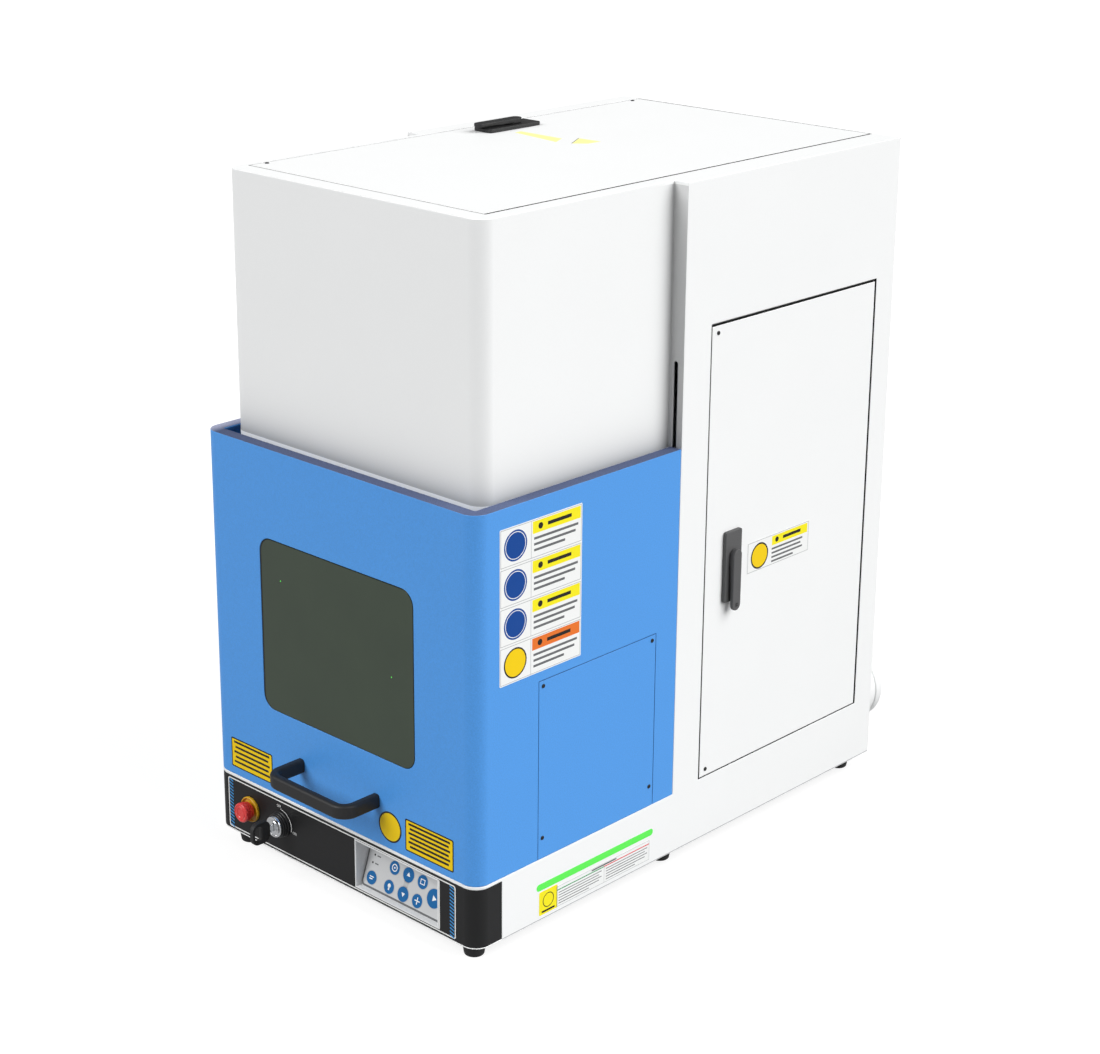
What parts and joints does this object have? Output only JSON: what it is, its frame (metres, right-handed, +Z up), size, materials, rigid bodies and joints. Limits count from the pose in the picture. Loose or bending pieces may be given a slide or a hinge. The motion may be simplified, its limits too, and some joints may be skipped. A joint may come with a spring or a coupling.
{
  "type": "laser marking machine",
  "caption": "Enclosed laser marking cabinet with a lift-up blue shroud, tinted window, black control fascia, hinged side door, hinged top cover and rear duct spigot.",
  "frame": {"origin": "on the floor below the middle of the cabinet", "axes": "+X to the right across the front, +Y from the front to the back, +Z up"},
  "size_m": [0.4309, 0.781, 0.7939],
  "materials": {
    "white_paint": "satin powder coat",
    "blue_paint": "fine textured powder coat",
    "black_paint": "satin powder coat",
    "window": "polished laser-safe acrylic",
    "black_plastic": "moulded",
    "rubber": "moulded",
    "red_plastic": "gloss",
    "yellow_plastic": "gloss",
    "steel": "machined",
    "zinc": "zinc plated",
    "aluminium": "natural",
    "black_aluminium": "black anodised",
    "film": "printed polyester film",
    "board": "solder mask"
  },
  "bodies": {
    "cabinet": {"base_pan": "white_paint", "base_deck": "white_paint", "side_panel_right": "white_paint", "side_panel_left": "white_paint", "tower_bulkhead": "white_paint", "back_panel": "white_paint", "back_panel_screws": "zinc", "head_housing": "white_paint", "head_floor": "white_paint", "top_frame": "white_paint", "front_fascia": "black_paint", "rubber_feet": "rubber", "work_table": "aluminium", "keypad_housing": "aluminium", "keypad_overlay": "film", "estop_base": "yellow_plastic", "key_switch_body": "black_plastic", "lift_rails": "steel", "gas_spring_cylinders": "black_paint", "door_pivots": "zinc", "cover_pivots": "zinc", "z_column": "aluminium", "z_rails": "steel", "z_motor": "black_paint", "equipment_plate": "zinc", "power_supply": "zinc", "control_board": "board", "exhaust_blower": "black_plastic", "duct_spigot": "white_paint", "cooling_fan_frame": "black_plastic", "power_inlet": "black_plastic"},
    "shroud": {"lift_shroud": "blue_paint", "window_pane": "window", "window_clips": "zinc", "pull_handle": "black_plastic", "handle_screws": "zinc", "access_panel": "blue_paint", "access_panel_screws": "black_paint", "lift_carriages": "aluminium", "gas_spring_rods": "steel"},
    "door": {"side_door": "white_paint", "door_screws": "black_paint", "door_latch_plate": "black_plastic"},
    "door_lever": {"door_latch_lever": "black_plastic"},
    "cover": {"top_cover": "white_paint", "cover_screws": "black_paint", "cover_latch_plate": "black_plastic"},
    "cover_lever": {"cover_latch_lever": "black_plastic"},
    "estop_stem": {"estop_plunger": "steel"},
    "estop_button": {"estop_cap": "red_plastic"},
    "key": {"key_rotor": "steel", "switch_key": "black_plastic"},
    "focus_slide": {"z_carriage": "aluminium", "laser_source": "black_aluminium", "galvo_head": "black_aluminium", "field_lens": "black_aluminium"},
    "focus_screw": {"z_screw": "steel"},
    "blower": {"blower_wheel": "black_plastic"},
    "fan": {"fan_blades": "black_plastic"},
    "rocker": {"inlet_rocker": "black_plastic"}
  },
  "joints": [
    {"name": "shroud_lift", "type": "slide", "parent": "cabinet", "child": "shroud", "axis": [0, 0, 1], "range_m": [0, 0.25]},
    {"name": "door_hinge", "type": "hinge", "parent": "cabinet", "child": "door", "pos_m": [0.202, 0.297, 0.359], "axis": [0, 0, 1], "range_deg": [0, 100]},
    {"name": "door_lever_turn", "type": "hinge", "parent": "door", "child": "door_lever", "pos_m": [0.21, 0.057, 0.3555], "axis": [1, 0, 0], "range_deg": [-90, 0]},
    {"name": "cover_hinge", "type": "hinge", "parent": "cabinet", "child": "cover", "pos_m": [0.162, 0, 0.775], "axis": [0, 1, 0], "range_deg": [0, 100]},
    {"name": "cover_lever_turn", "type": "hinge", "parent": "cover", "child": "cover_lever", "pos_m": [-0.149, 0.083, 0.783], "axis": [0, 0, 1], "range_deg": [-90, 0]},
    {"name": "estop_press", "type": "slide", "parent": "cabinet", "child": "estop_stem", "axis": [0, 1, 0], "range_m": [0, 0.003], "stiffness_N_per_m": 1500},
    {"name": "estop_twist", "type": "hinge", "parent": "estop_stem", "child": "estop_button", "pos_m": [-0.151, -0.341, 0.058], "axis": [0, 1, 0], "range_deg": [0, 45], "stiffness_Nm_per_rad": 0.05},
    {"name": "key_turn", "type": "hinge", "parent": "cabinet", "child": "key", "pos_m": [-0.0985, -0.341, 0.058], "axis": [0, 1, 0], "range_deg": [0, 90]},
    {"name": "focus_travel", "type": "slide", "parent": "cabinet", "child": "focus_slide", "axis": [0, 0, 1], "range_m": [-0.08, 0]},
    {"name": "focus_screw_turn", "type": "hinge", "parent": "cabinet", "child": "focus_screw", "pos_m": [0, 0.026, 0.5], "axis": [0, 0, 1], "range_deg": [0, 5760]},
    {"name": "blower_spin", "type": "hinge", "parent": "cabinet", "child": "blower", "pos_m": [0.146, 0.321, 0.083], "axis": [0, 1, 0], "continuous": true},
    {"name": "fan_spin", "type": "hinge", "parent": "cabinet", "child": "fan", "pos_m": [-0.1, 0.326, 0.5415], "axis": [0, 1, 0], "continuous": true},
    {"name": "rocker_tilt", "type": "hinge", "parent": "cabinet", "child": "rocker", "pos_m": [-0.12, 0.339, 0.1565], "axis": [1, 0, 0], "range_deg": [-12, 12]}
  ],
  "couplings": [
    {"joint": "focus_screw_turn", "follows": "focus_travel", "rad_per_m": -1256.6}
  ]
}
